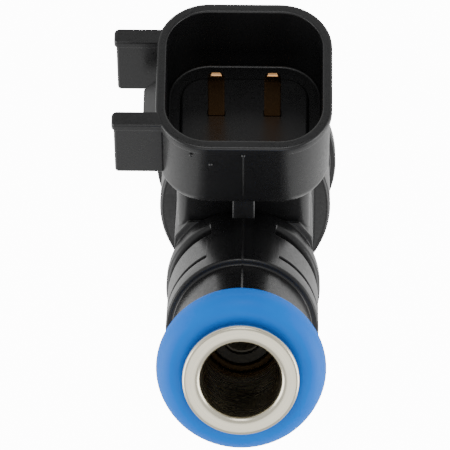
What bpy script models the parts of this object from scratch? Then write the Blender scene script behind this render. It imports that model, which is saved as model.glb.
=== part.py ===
"""Long port fuel injector: a solenoid valve in a stainless tube and steel can, moulded into a nylon body.

Metres, +Z up. The origin is the centre of the lower O-ring, on the injector's axis. +Z runs to the fuel
inlet, -Z to the spray plate, and the connector leans out towards -Y. Sizes below are in millimetres.
"""

import math

import bmesh
import bpy

MM = 0.001
STEPS = 40
SMALL_STEPS = 28
PRESS_GAP = 0.05

# Fuel end
INLET_Z = 63.65
FLANGE_R = 5.05
FLANGE_THICK = 0.9
TUBE_R = 3.8
TUBE_BORE_R = 3.4
RING_SECTION_R = 1.765
UPPER_RING_Z = 60.65

# Moulded body
NECK_TOP_Z = 58.75
NECK_R = 6.1
BARREL_TOP_Z = 51.9
BARREL_R = 6.75
COLLAR_R = 6.95
COLLAR_BOTTOM_Z = 40.0
NARROW_SLOT = (48.95, 49.55)
CLIP_SLOT = (42.3, 44.1)
SLOT_FLOOR_R = 5.5
SLOT_BRIDGE_HALF = 2.95
COLUMN_HALF_X = 6.25
COLUMN_HALF_Y = 5.7
COLUMN_CHAMFER_X = 1.2
COLUMN_CHAMFER_Y = 1.5
COLUMN_CORE_R = 5.0
GUSSET_X = 2.0
GUSSET_FRONT_Y = -9.5
GUSSET_BOTTOM_Z = 34.2
WEB_X = 8.4
WEB_FRONT_Y = -8.4
WEB_BOTTOM_Z = 20.1
WEB_TOP_Z = 35.1
COVER_TOP_Z = 20.75
COVER_R = 8.1
COVER_FLANGE_TOP_Z = 8.25
COVER_FLANGE_R = 8.75
COVER_BOTTOM_Z = 5.35

# Connector, in its own frame: +Z out along the plug's path, -Y towards the nozzle
CONNECTOR_TILT = math.radians(55.0)
CONNECTOR_Z = 31.0
RIM_REACH = 26.4
SHROUD_X = 15.1
SHROUD_Y = 15.3
SHROUD_DEPTH = 8.9
SHROUD_CORNER_R = 4.5
SHROUD_BACK_R = 1.4
RIM_PROUD = 0.18
RIM_BEAD = 0.95
RIM_STEP = 0.3
ARM_X = 12.0
ARM_Y = 8.8
ARM_SHIFT = -0.6
ARM_CORNER_R = 1.1
CAVITY_X = 13.7
CAVITY_Y = 13.6
CAVITY_CORNER_R = 3.75
FLOOR_DEPTH = 7.4
MOAT_DEPTH = 8.0
ISLAND_X = 11.4
ISLAND_Y = 10.4
ISLAND_CORNER_R = 2.1
RAIL_OUT_X = 11.2
RAIL_THICK = 1.15
RAIL_DEPTH = 7.3
RAIL_PITCH = 9.0
RAIL_SHIFT = 0.1
RAMP_OUT = 1.4
RAMP_ROOT = 0.6
RAMP_WIDE = 4.4
RAMP_START = 3.1
RAMP_RISE = 1.75
RAMP_LONG = 3.4

# Blades
BLADE_PITCH = 5.0
BLADE_WIDE = 1.5
BLADE_THICK = 0.64
BLADE_SHIFT = -1.4
BLADE_TIP_DEPTH = 1.45
BLADE_COLUMN_Y = -4.75
BLADE_FOOT_Z = 17.3
BLADE_TIP_LONG = 1.0

# Inlet filter
FILTER_TOP_Z = 53.4
FILTER_RING_LONG = 2.4
FILTER_RING_BORE_R = 2.75
CAGE_COLLAR_R = 2.7
CAGE_R = 2.4
CAGE_BORE_R = 1.9
CAGE_BOTTOM_Z = 42.0
CAGE_FLOOR = 1.0
WINDOW_WIDE = 2.4
WINDOW_HIGH = 6.6

# Solenoid and valve
HOUSING_R = 7.3
HOUSING_BORE_R = 6.65
HOUSING_TOP_Z = 19.5
HOUSING_BOTTOM_Z = 3.2
HOUSING_FLOOR = 0.9
CORE_R = 4.3
CORE_BORE_R = 1.65
CORE_PRESS_LONG = 3.0
CORE_TOP_Z = 24.0
CORE_SHOULDER_Z = 12.1
CORE_FACE_Z = 10.0
SLEEVE_BOTTOM_Z = 8.05
BOBBIN_R = 6.5
BOBBIN_HUB_R = 5.0
BOBBIN_TOP_Z = 18.0
BOBBIN_BOTTOM_Z = 6.0
BOBBIN_FLANGE = 1.0
WINDING_R = 6.3
WASHER_BOTTOM_Z = 18.1
WASHER_TOP_Z = 19.3
WASHER_GAP_EDGE_Y = -3.6
ARMATURE_R = 3.15
ARMATURE_TOP_Z = 9.9
ARMATURE_LOW_Z = 4.35
NEEDLE_R = 1.5
NEEDLE_BORE_R = 1.1
NEEDLE_TOP_Z = 6.6
CROSS_HOLE_R = 0.45
CROSS_HOLE_Z = 1.5
ADJUSTER_TOP_Z = 24.5
ADJUSTER_LOW_Z = 16.5
NOZZLE_R = 3.75
NOZZLE_BORE_R = 3.2
NOZZLE_END_Z = -6.0
BALL_R = 1.75
BALL_Z = -1.886
SPRING_R = 1.3
SPRING_WIRE_R = 0.18
SPRING_SEAT_Z = 7.0
SPRING_BORE_R = 1.6
SPRING_TURNS = 8
SPRING_POINTS_A_TURN = 12

# Nozzle end
NOZZLE_TOP_Z = 8.0
NOZZLE_FLANGE_TOP_Z = 5.9
NOZZLE_WAIST_R = 2.2
NOZZLE_WAIST_TOP_Z = 4.0
NOZZLE_WAIST_LOW_Z = -1.0
GUIDE_TOP_Z = -1.3
GUIDE_LOW_Z = -2.5
GUIDE_HOLE_R = 0.42
GUIDE_HOLE_CIRCLE_R = 2.5
SEAT_TOP_Z = -2.9
SEAT_LOW_Z = -5.5
SEAT_MOUTH_R = 1.5
SEAT_THROAT_R = 0.7
SEAT_CONE_LONG = 0.8
PLATE_TOP_Z = -5.6
PLATE_LOW_Z = -5.85
SPRAY_HOLE_R = 0.14
SPRAY_CIRCLE_R = 0.42
BACKUP_R = 6.6
BACKUP_LOW_Z = 1.95
CAP_R = 5.3
CAP_NOSE_R = 4.6
CAP_BORE_R = 2.6
CAP_TOP_Z = -1.95
CAP_TAPER_Z = -5.6
CAP_NOSE_Z = -6.9


def clear_scene():
    for obj in list(bpy.data.objects):
        bpy.data.objects.remove(obj, do_unlink=True)


def new_collection(name):
    collection = bpy.data.collections.new(name)
    bpy.context.scene.collection.children.link(collection)
    return collection


def new_material(name, colour, roughness, metallic=0.0):
    material = bpy.data.materials.new(name)
    material.use_nodes = True
    shader = material.node_tree.nodes["Principled BSDF"]
    shader.inputs["Base Color"].default_value = (*colour, 1.0)
    shader.inputs["Roughness"].default_value = roughness
    shader.inputs["Metallic"].default_value = metallic
    return material


def mesh_object(name, mesh, collection, material=None):
    obj = bpy.data.objects.new(name, mesh)
    collection.objects.link(obj)
    if material:
        mesh.materials.append(material)
    return obj


def as_cutter(obj):
    """Helpers shape other pieces and are no pieces themselves."""
    obj.hide_render = True
    obj.display_type = "WIRE"
    return obj


def turned(name, profile, collection, material=None, steps=STEPS, closed=True):
    """A turned piece: (radius, height) points run down the outer side, then back up the inner side or axis."""
    mesh = bpy.data.meshes.new(name)
    points = [(radius * MM, 0.0, height * MM) for radius, height in profile]
    edges = [(i, i + 1) for i in range(len(points) - 1)]
    if closed:
        edges.append((len(points) - 1, 0))
    mesh.from_pydata(points, edges, [])
    obj = mesh_object(name, mesh, collection, material)
    screw = obj.modifiers.new("turn", "SCREW")
    screw.steps = steps
    screw.render_steps = steps
    screw.use_merge_vertices = True
    screw.merge_threshold = 0.00001
    screw.use_smooth_shade = True
    return obj


def cylinder(name, radius, low, high, collection, material=None, steps=STEPS):
    """A solid round bar between two heights."""
    profile = [(0.0, high), (radius, high), (radius, low), (0.0, low)]
    return turned(name, profile, collection, material, steps, closed=False)


def tube(name, outer, inner, low, high, collection, material=None, steps=STEPS):
    """A plain round tube between two heights."""
    profile = [(outer, high), (outer, low), (inner, low), (inner, high)]
    return turned(name, profile, collection, material, steps)


def block(name, size, centre, collection, corner_r=0.0, corner_steps=6, back_r=0.0, back_steps=3):
    """A box whose four upright edges are rounded, and, if asked, the edges round its lower end too."""
    bm = bmesh.new()
    bmesh.ops.create_cube(bm, size=1.0)
    bmesh.ops.scale(bm, vec=[side * MM for side in size], verts=bm.verts)
    if corner_r:
        upright = [e for e in bm.edges if abs(e.verts[0].co.z - e.verts[1].co.z) > 0.5 * size[2] * MM]
        bmesh.ops.bevel(bm, geom=upright, offset=corner_r * MM, segments=corner_steps,
                        profile=0.5, affect="EDGES")
    if back_r:
        lower = [e for e in bm.edges if max(v.co.z for v in e.verts) < -0.49 * size[2] * MM]
        bmesh.ops.bevel(bm, geom=lower, offset=back_r * MM, segments=back_steps,
                        profile=0.5, affect="EDGES")
    mesh = bpy.data.meshes.new(name)
    bm.to_mesh(mesh)
    bm.free()
    obj = mesh_object(name, mesh, collection)
    obj.location = [c * MM for c in centre]
    return obj


def side_plate(name, outline, wide, centre_x, collection, material=None):
    """A flat outline of (y, z) points, as thick as wide along X."""
    curve = bpy.data.curves.new(name, "CURVE")
    curve.dimensions = "2D"
    curve.fill_mode = "BOTH"
    curve.extrude = 0.5 * wide * MM
    spline = curve.splines.new("POLY")
    spline.points.add(len(outline) - 1)
    for point, (y, z) in zip(spline.points, outline):
        point.co = (y * MM, z * MM, 0.0, 1.0)
    spline.use_cyclic_u = True
    flat = bpy.data.objects.new(name, curve)
    collection.objects.link(flat)
    flat.location.x = centre_x * MM
    flat.rotation_euler = (math.pi / 2, 0.0, math.pi / 2)
    bpy.context.view_layer.update()
    graph = bpy.context.evaluated_depsgraph_get()
    mesh = bpy.data.meshes.new_from_object(flat.evaluated_get(graph))
    place = flat.matrix_world.copy()
    bpy.data.objects.remove(flat, do_unlink=True)
    bpy.data.curves.remove(curve)
    bm = bmesh.new()
    bm.from_mesh(mesh)
    bmesh.ops.remove_doubles(bm, verts=bm.verts, dist=0.000005)
    bmesh.ops.recalc_face_normals(bm, faces=bm.faces)
    bm.to_mesh(mesh)
    bm.free()
    mesh.name = name
    obj = mesh_object(name, mesh, collection, material)
    obj.matrix_world = place
    return obj


def boolean(obj, operation, *others):
    for other in others:
        modifier = obj.modifiers.new(operation.lower(), "BOOLEAN")
        modifier.operation = operation
        modifier.solver = "EXACT"
        modifier.object = other


def upright_plate(name, outline, low, high, collection):
    """A prism of (x, y) points between two heights."""
    plate = side_plate(name, outline, high - low, 0.0, collection)
    plate.rotation_euler = (0.0, 0.0, 0.0)
    plate.location = (0.0, 0.0, 0.5 * (low + high) * MM)
    return plate


def o_ring(name, height, inner_r, collection, material):
    """A round-section sealing ring that sits on a tube of the given radius."""
    middle_r = inner_r + 0.02 + RING_SECTION_R
    bpy.ops.mesh.primitive_torus_add(
        major_segments=STEPS, minor_segments=16, major_radius=middle_r * MM,
        minor_radius=RING_SECTION_R * MM, location=(0.0, 0.0, height * MM))
    ring = bpy.context.object
    ring.name = name
    ring.data.name = name
    for home in list(ring.users_collection):
        home.objects.unlink(ring)
    collection.objects.link(ring)
    ring.data.materials.append(material)
    ring.data.shade_smooth()
    return ring


def connector_point(across, out):
    """(y, z) in the injector's frame of a point in the connector's mid plane."""
    sine = math.sin(CONNECTOR_TILT)
    cosine = math.cos(CONNECTOR_TILT)
    return (across * cosine - out * sine, CONNECTOR_Z + across * sine + out * cosine)


def blade_outline(grow):
    """The blade's side view, as a closed outline: foot in the bobbin, up the column, bent out, tapered tip."""
    half = 0.5 * BLADE_THICK + grow
    tip_out = RIM_REACH - BLADE_TIP_DEPTH + grow
    sine = math.sin(CONNECTOR_TILT)
    cosine = math.cos(CONNECTOR_TILT)
    bend_out = (-BLADE_COLUMN_Y + BLADE_SHIFT * cosine) / sine
    bend_y, bend_z = connector_point(BLADE_SHIFT, bend_out)
    outline = [(bend_y - half, BLADE_FOOT_Z - grow), (bend_y + half, BLADE_FOOT_Z - grow)]
    side = half * math.tan(0.5 * CONNECTOR_TILT)
    outline.append((bend_y + half, bend_z + side))
    outline.append(connector_point(BLADE_SHIFT + half, tip_out - BLADE_TIP_LONG))
    outline.append(connector_point(BLADE_SHIFT + 0.35 * half, tip_out))
    outline.append(connector_point(BLADE_SHIFT - 0.35 * half, tip_out))
    outline.append(connector_point(BLADE_SHIFT - half, tip_out - BLADE_TIP_LONG))
    outline.append((bend_y - half, bend_z - side))
    return outline


def make_fuel_end(parts, steel, blue):
    """Inlet tube with its rolled flange, and the rail O-ring behind the flange."""
    edge = 0.4
    corner = 0.3 * edge
    lip = 0.3
    profile = [
        (FLANGE_R - edge, INLET_Z),
        (FLANGE_R - corner, INLET_Z - corner),
        (FLANGE_R, INLET_Z - edge),
        (FLANGE_R - corner, INLET_Z - FLANGE_THICK + corner),
        (FLANGE_R - edge, INLET_Z - FLANGE_THICK),
        (TUBE_R, INLET_Z - FLANGE_THICK),
        (TUBE_R, CORE_TOP_Z + PRESS_GAP),
        (TUBE_BORE_R, CORE_TOP_Z + PRESS_GAP),
        (TUBE_BORE_R, INLET_Z - 2 * lip),
        (TUBE_BORE_R + 0.3 * lip, INLET_Z - 0.7 * lip),
        (TUBE_BORE_R + lip, INLET_Z),
    ]
    turned("inlet_tube", profile, parts, steel)
    o_ring("upper_o_ring", UPPER_RING_Z, TUBE_R, parts, blue)


def make_filter(parts, helpers, brass, nylon, mesh_steel):
    """Inlet filter: a brass ring pressed in the tube, a nylon cage in it, and the woven sleeve in the cage."""
    ring_low = FILTER_TOP_Z - FILTER_RING_LONG
    tube("filter_ring", TUBE_BORE_R - PRESS_GAP, FILTER_RING_BORE_R, ring_low, FILTER_TOP_Z,
         parts, brass, SMALL_STEPS)
    cage_top = FILTER_TOP_Z - 0.4
    cage_floor = CAGE_BOTTOM_Z + CAGE_FLOOR
    profile = [
        (0.0, cage_floor),
        (CAGE_BORE_R, cage_floor),
        (CAGE_BORE_R, cage_top),
        (CAGE_COLLAR_R, cage_top),
        (CAGE_COLLAR_R, ring_low + 0.2),
        (CAGE_R, ring_low - 0.2),
        (CAGE_R, CAGE_BOTTOM_Z),
        (0.0, CAGE_BOTTOM_Z),
    ]
    frame = turned("filter_frame", profile, parts, nylon, SMALL_STEPS, closed=False)
    middle = cage_floor + 0.5 * WINDOW_HIGH + 0.5
    across = 2 * CAGE_R + 1.0
    for edge, size in (("x", (across, WINDOW_WIDE, WINDOW_HIGH)), ("y", (WINDOW_WIDE, across, WINDOW_HIGH))):
        window = as_cutter(block(f"filter_window_{edge}", size, (0.0, 0.0, middle), helpers))
        boolean(frame, "DIFFERENCE", window)
    outer = CAGE_BORE_R - PRESS_GAP
    tube("filter_mesh", outer, outer - 0.15, cage_floor + PRESS_GAP, cage_top - 0.5,
         parts, mesh_steel, SMALL_STEPS)


def make_magnet(parts, helpers, core_steel, sleeve_steel, nylon, copper, can_steel):
    """Pole piece, sleeve round the air gap, wound bobbin, flux washer and steel can."""
    press_r = TUBE_BORE_R - PRESS_GAP
    pole_r = NOZZLE_BORE_R - PRESS_GAP
    profile = [
        (press_r, CORE_TOP_Z + CORE_PRESS_LONG),
        (press_r, CORE_TOP_Z),
        (CORE_R, CORE_TOP_Z),
        (CORE_R, CORE_SHOULDER_Z),
        (pole_r, CORE_SHOULDER_Z),
        (pole_r, CORE_FACE_Z),
        (CORE_BORE_R, CORE_FACE_Z),
        (CORE_BORE_R, CORE_TOP_Z + CORE_PRESS_LONG),
    ]
    turned("fixed_core", profile, parts, core_steel)
    sleeve_top = CORE_SHOULDER_Z - PRESS_GAP
    tube("nonmagnetic_sleeve", CORE_R, NOZZLE_BORE_R, SLEEVE_BOTTOM_Z, sleeve_top, parts, sleeve_steel)
    bore_r = CORE_R + 2 * PRESS_GAP
    high = BOBBIN_TOP_Z - BOBBIN_FLANGE
    low = BOBBIN_BOTTOM_Z + BOBBIN_FLANGE
    profile = [
        (BOBBIN_R, BOBBIN_TOP_Z),
        (BOBBIN_R, high),
        (BOBBIN_HUB_R, high),
        (BOBBIN_HUB_R, low),
        (BOBBIN_R, low),
        (BOBBIN_R, BOBBIN_BOTTOM_Z),
        (bore_r, BOBBIN_BOTTOM_Z),
        (bore_r, BOBBIN_TOP_Z),
    ]
    bobbin = turned("coil_bobbin", profile, parts, nylon)
    pocket = (BLADE_WIDE + 4 * PRESS_GAP, BLADE_THICK + 4 * PRESS_GAP, 2.0)
    for name, side in (("left", 1), ("right", -1)):
        centre = (side * 0.5 * BLADE_PITCH, BLADE_COLUMN_Y, BLADE_FOOT_Z - 0.1 + 0.5 * pocket[2])
        boolean(bobbin, "DIFFERENCE", as_cutter(block(f"foot_pocket_{name}", pocket, centre, helpers)))
    tube("coil_winding", WINDING_R, BOBBIN_HUB_R + PRESS_GAP, low + 0.1, high - 0.1, parts, copper)
    washer_r = HOUSING_BORE_R - PRESS_GAP
    washer = tube("flux_washer", washer_r, bore_r, WASHER_BOTTOM_Z, WASHER_TOP_Z, parts, core_steel)
    gap = (BLADE_PITCH + BLADE_WIDE + 1.0, 6.0, 2.0)
    centre = (0.0, WASHER_GAP_EDGE_Y - 0.5 * gap[1], 0.5 * (WASHER_BOTTOM_Z + WASHER_TOP_Z))
    boolean(washer, "DIFFERENCE", as_cutter(block("washer_gap", gap, centre, helpers)))
    hole_r = NOZZLE_R + 2 * PRESS_GAP
    profile = [
        (HOUSING_R, HOUSING_TOP_Z),
        (HOUSING_R, HOUSING_BOTTOM_Z + 0.5),
        (HOUSING_R - 0.5, HOUSING_BOTTOM_Z),
        (hole_r, HOUSING_BOTTOM_Z),
        (hole_r, HOUSING_BOTTOM_Z + HOUSING_FLOOR),
        (HOUSING_BORE_R, HOUSING_BOTTOM_Z + HOUSING_FLOOR),
        (HOUSING_BORE_R, HOUSING_TOP_Z),
    ]
    turned("solenoid_housing", profile, parts, can_steel)


def make_valve(parts, helpers, core_steel, tube_steel, ball_steel, spring_steel):
    """Everything that opens and closes: adjusting tube, spring, armature, needle tube and ball."""
    adjuster_r = CORE_BORE_R - PRESS_GAP
    tube("adjusting_tube", adjuster_r, NEEDLE_BORE_R, ADJUSTER_LOW_Z, ADJUSTER_TOP_Z,
         parts, tube_steel, SMALL_STEPS)
    low = SPRING_SEAT_Z + PRESS_GAP + SPRING_WIRE_R
    high = ADJUSTER_LOW_Z - PRESS_GAP - SPRING_WIRE_R
    curve = bpy.data.curves.new("return_spring", "CURVE")
    curve.dimensions = "3D"
    curve.bevel_depth = SPRING_WIRE_R * MM
    curve.bevel_resolution = 2
    curve.use_fill_caps = True
    spline = curve.splines.new("POLY")
    steps = SPRING_TURNS * SPRING_POINTS_A_TURN
    spline.points.add(steps)
    for i, point in enumerate(spline.points):
        angle = 2 * math.pi * i / SPRING_POINTS_A_TURN
        height = low + (high - low) * i / steps
        point.co = (SPRING_R * math.cos(angle) * MM, SPRING_R * math.sin(angle) * MM, height * MM, 1.0)
    spring = bpy.data.objects.new("return_spring", curve)
    curve.materials.append(spring_steel)
    parts.objects.link(spring)

    mover = bpy.data.objects.new("valve_slide", None)
    mover.location.z = BALL_Z * MM
    parts.objects.link(mover)
    edge = 0.15
    socket_r = NEEDLE_R + PRESS_GAP
    profile = [
        (ARMATURE_R - edge, ARMATURE_TOP_Z),
        (ARMATURE_R, ARMATURE_TOP_Z - edge),
        (ARMATURE_R, ARMATURE_LOW_Z + edge),
        (ARMATURE_R - edge, ARMATURE_LOW_Z),
        (socket_r, ARMATURE_LOW_Z),
        (socket_r, NEEDLE_TOP_Z + PRESS_GAP),
        (NEEDLE_BORE_R, NEEDLE_TOP_Z + PRESS_GAP),
        (NEEDLE_BORE_R, SPRING_SEAT_Z),
        (SPRING_BORE_R, SPRING_SEAT_Z),
        (SPRING_BORE_R, ARMATURE_TOP_Z),
    ]
    armature = turned("armature", profile, parts, core_steel)
    low_end = BALL_Z + math.sqrt(BALL_R**2 - NEEDLE_BORE_R**2) + PRESS_GAP
    needle = tube("needle_tube", NEEDLE_R, NEEDLE_BORE_R, low_end, NEEDLE_TOP_Z,
                  parts, tube_steel, SMALL_STEPS)
    cross = cylinder("needle_cross_hole", CROSS_HOLE_R, -2 * NEEDLE_R, 2 * NEEDLE_R, helpers, steps=16)
    cross.rotation_euler.y = math.pi / 2
    cross.location.z = CROSS_HOLE_Z * MM
    boolean(needle, "DIFFERENCE", as_cutter(cross))
    bpy.ops.mesh.primitive_uv_sphere_add(segments=SMALL_STEPS, ring_count=14, radius=BALL_R * MM,
                                         location=(0.0, 0.0, BALL_Z * MM))
    ball = bpy.context.object
    ball.name = "valve_ball"
    ball.data.name = "valve_ball"
    for home in list(ball.users_collection):
        home.objects.unlink(ball)
    parts.objects.link(ball)
    ball.data.materials.append(ball_steel)
    ball.data.shade_smooth()
    bpy.context.view_layer.update()
    for piece in (armature, needle, ball):
        piece.parent = mover
        piece.matrix_parent_inverse = mover.matrix_world.inverted()


def drill_ring(piece, name, hole_r, circle_r, first_angle, helpers):
    """Four holes through the nozzle's end, evenly round a circle."""
    for i in range(4):
        angle = first_angle + i * math.pi / 2
        hole = as_cutter(cylinder(f"{name}_{i + 1}", hole_r, 2 * NOZZLE_END_Z, 0.0, helpers, steps=12))
        hole.location.x = circle_r * math.cos(angle) * MM
        hole.location.y = circle_r * math.sin(angle) * MM
        boolean(piece, "DIFFERENCE", hole)


def make_nozzle(parts, helpers, body_steel, seat_steel, seal, nylon):
    """Valve body with guide, seat and spray plate in its tip, and the rings and cap round it."""
    shoulder_z = HOUSING_BOTTOM_Z + HOUSING_FLOOR + PRESS_GAP
    profile = [
        (CORE_R, NOZZLE_TOP_Z),
        (CORE_R, NOZZLE_FLANGE_TOP_Z),
        (HOUSING_BORE_R - PRESS_GAP, NOZZLE_FLANGE_TOP_Z),
        (HOUSING_BORE_R - PRESS_GAP, shoulder_z),
        (NOZZLE_R, shoulder_z),
        (NOZZLE_R, NOZZLE_END_Z),
        (NOZZLE_BORE_R, NOZZLE_END_Z),
        (NOZZLE_BORE_R, NOZZLE_WAIST_LOW_Z),
        (NOZZLE_WAIST_R, NOZZLE_WAIST_LOW_Z),
        (NOZZLE_WAIST_R, NOZZLE_WAIST_TOP_Z),
        (NOZZLE_BORE_R, NOZZLE_WAIST_TOP_Z),
        (NOZZLE_BORE_R, NOZZLE_TOP_Z),
    ]
    turned("valve_body", profile, parts, body_steel)
    inner = NOZZLE_BORE_R - PRESS_GAP
    guide = tube("guide_disc", inner, BALL_R + 0.04, GUIDE_LOW_Z, GUIDE_TOP_Z, parts, seat_steel)
    drill_ring(guide, "guide_flow_hole", GUIDE_HOLE_R, GUIDE_HOLE_CIRCLE_R, math.pi / 4, helpers)
    profile = [
        (inner, SEAT_TOP_Z),
        (inner, SEAT_LOW_Z),
        (SEAT_THROAT_R, SEAT_LOW_Z),
        (SEAT_THROAT_R, SEAT_TOP_Z - SEAT_CONE_LONG),
        (SEAT_MOUTH_R, SEAT_TOP_Z),
    ]
    turned("valve_seat", profile, parts, seat_steel)
    plate = cylinder("orifice_plate", inner, PLATE_LOW_Z, PLATE_TOP_Z, parts, seat_steel)
    drill_ring(plate, "spray_hole", SPRAY_HOLE_R, SPRAY_CIRCLE_R, 0.0, helpers)
    backup_top = HOUSING_BOTTOM_Z - PRESS_GAP
    tube("backup_ring", BACKUP_R, NOZZLE_R + 2 * PRESS_GAP, BACKUP_LOW_Z, backup_top, parts, nylon)
    o_ring("lower_o_ring", 0.0, NOZZLE_R, parts, seal)
    profile = [
        (CAP_R - 0.2, CAP_TOP_Z),
        (CAP_R, CAP_TOP_Z - 0.2),
        (CAP_R, CAP_TAPER_Z),
        (CAP_NOSE_R, CAP_NOSE_Z),
        (CAP_BORE_R, CAP_NOSE_Z),
        (CAP_BORE_R, NOZZLE_END_Z - PRESS_GAP),
        (NOZZLE_R + PRESS_GAP, NOZZLE_END_Z - PRESS_GAP),
        (NOZZLE_R + PRESS_GAP, CAP_TOP_Z),
    ]
    turned("nozzle_cap", profile, parts, nylon)


def make_blades(parts, brass):
    for name, side in (("terminal_left", 1), ("terminal_right", -1)):
        side_plate(name, blade_outline(0.0), BLADE_WIDE, side * 0.5 * BLADE_PITCH, parts, brass)


def connector_shapes(helpers):
    """(added, cavity, island) shapes of the connector, standing in its tilted frame."""
    frame = bpy.data.objects.new("connector_frame", None)
    frame.location.z = CONNECTOR_Z * MM
    frame.rotation_euler.x = CONNECTOR_TILT
    helpers.objects.link(frame)
    wall_top = RIM_REACH - RIM_STEP
    middle = 0.5 * (wall_top + RIM_REACH - SHROUD_DEPTH)
    wall_size = (SHROUD_X, SHROUD_Y, SHROUD_DEPTH - RIM_STEP)
    shroud = block("shroud_wall", wall_size, (0.0, 0.0, middle), helpers,
                   SHROUD_CORNER_R, 8, SHROUD_BACK_R, 4)
    bead_size = (SHROUD_X + 2 * RIM_PROUD, SHROUD_Y + 2 * RIM_PROUD, RIM_BEAD)
    bead_z = RIM_REACH - 0.5 * RIM_BEAD
    bead = block("rim_bead", bead_size, (0.0, 0.0, bead_z), helpers, SHROUD_CORNER_R + RIM_PROUD, 8)
    added = [shroud, bead]
    for name, side in (("upper", -1), ("lower", 1)):
        y = RAIL_SHIFT + side * 0.5 * RAIL_PITCH
        inner_x = 0.5 * SHROUD_X - 0.6
        size = (RAIL_OUT_X - inner_x, RAIL_THICK, RAIL_DEPTH - RIM_STEP)
        centre = (0.5 * (RAIL_OUT_X + inner_x), y, wall_top - 0.5 * size[2])
        added.append(block(f"rail_{name}", size, centre, helpers, 0.2, 2))
        size = (size[0] + RIM_PROUD + 0.1, RAIL_THICK + 2 * RIM_PROUD, RIM_BEAD - 0.1)
        centre = (centre[0] + 0.5 * RIM_PROUD - 0.05, y, RIM_REACH - 0.5 * RIM_BEAD)
        added.append(block(f"rail_bead_{name}", size, centre, helpers, 0.3, 2))
    ramp = latch_ramp(helpers)
    arm_length = RIM_REACH - SHROUD_DEPTH + 2.0
    arm = block("arm", (ARM_X, ARM_Y, arm_length), (0.0, ARM_SHIFT, 0.5 * arm_length + 1.0), helpers,
                ARM_CORNER_R, 4)
    added += [ramp, arm]
    size = (CAVITY_X, CAVITY_Y, MOAT_DEPTH + 2.0)
    cavity = block("cavity", size, (0.0, 0.0, RIM_REACH - MOAT_DEPTH + 0.5 * size[2]), helpers,
                   CAVITY_CORNER_R, 8)
    size = (ISLAND_X, ISLAND_Y, MOAT_DEPTH - FLOOR_DEPTH + 0.5)
    island = block("island", size, (0.0, 0.0, RIM_REACH - FLOOR_DEPTH - 0.5 * size[2]), helpers,
                   ISLAND_CORNER_R, 5)
    for shape in (*added, cavity, island):
        as_cutter(shape)
        shape.parent = frame
    return added, cavity, island


def latch_ramp(helpers):
    """The wedge that the plug's latch snaps over, on the shroud's side between the rails."""
    bm = bmesh.new()
    bmesh.ops.create_cube(bm, size=1.0)
    deep = RAMP_ROOT + RAMP_OUT
    bmesh.ops.scale(bm, vec=[deep * MM, RAMP_WIDE * MM, RAMP_LONG * MM], verts=bm.verts)
    for vert in bm.verts:
        if vert.co.x > 0 and vert.co.z > 0:
            vert.co.z -= RAMP_RISE * MM
    mesh = bpy.data.meshes.new("latch_ramp")
    bm.to_mesh(mesh)
    bm.free()
    ramp = mesh_object("latch_ramp", mesh, helpers)
    middle_x = 0.5 * SHROUD_X - RAMP_ROOT + 0.5 * deep
    ramp.location = (middle_x * MM, RAIL_SHIFT * MM, (RIM_REACH - RAMP_START - 0.5 * RAMP_LONG) * MM)
    return ramp


def column_outline():
    """Octagon of the column, as (x, y) points."""
    flat_x = COLUMN_HALF_X - COLUMN_CHAMFER_X
    flat_y = COLUMN_HALF_Y - COLUMN_CHAMFER_Y
    quarter = [(COLUMN_HALF_X, flat_y), (flat_x, COLUMN_HALF_Y)]
    top = quarter + [(-x, y) for x, y in reversed(quarter)]
    return top + [(-x, -y) for x, y in top]


def front_rib(name, wide, front_y, low, high, corner_r, helpers):
    """A rib on the column's connector side, rooted inside the column."""
    root_y = -COLUMN_CORE_R + 0.6
    size = (wide, root_y - front_y, high - low)
    centre = (0.0, 0.5 * (root_y + front_y), 0.5 * (low + high))
    return as_cutter(block(name, size, centre, helpers, corner_r, 3))


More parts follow.
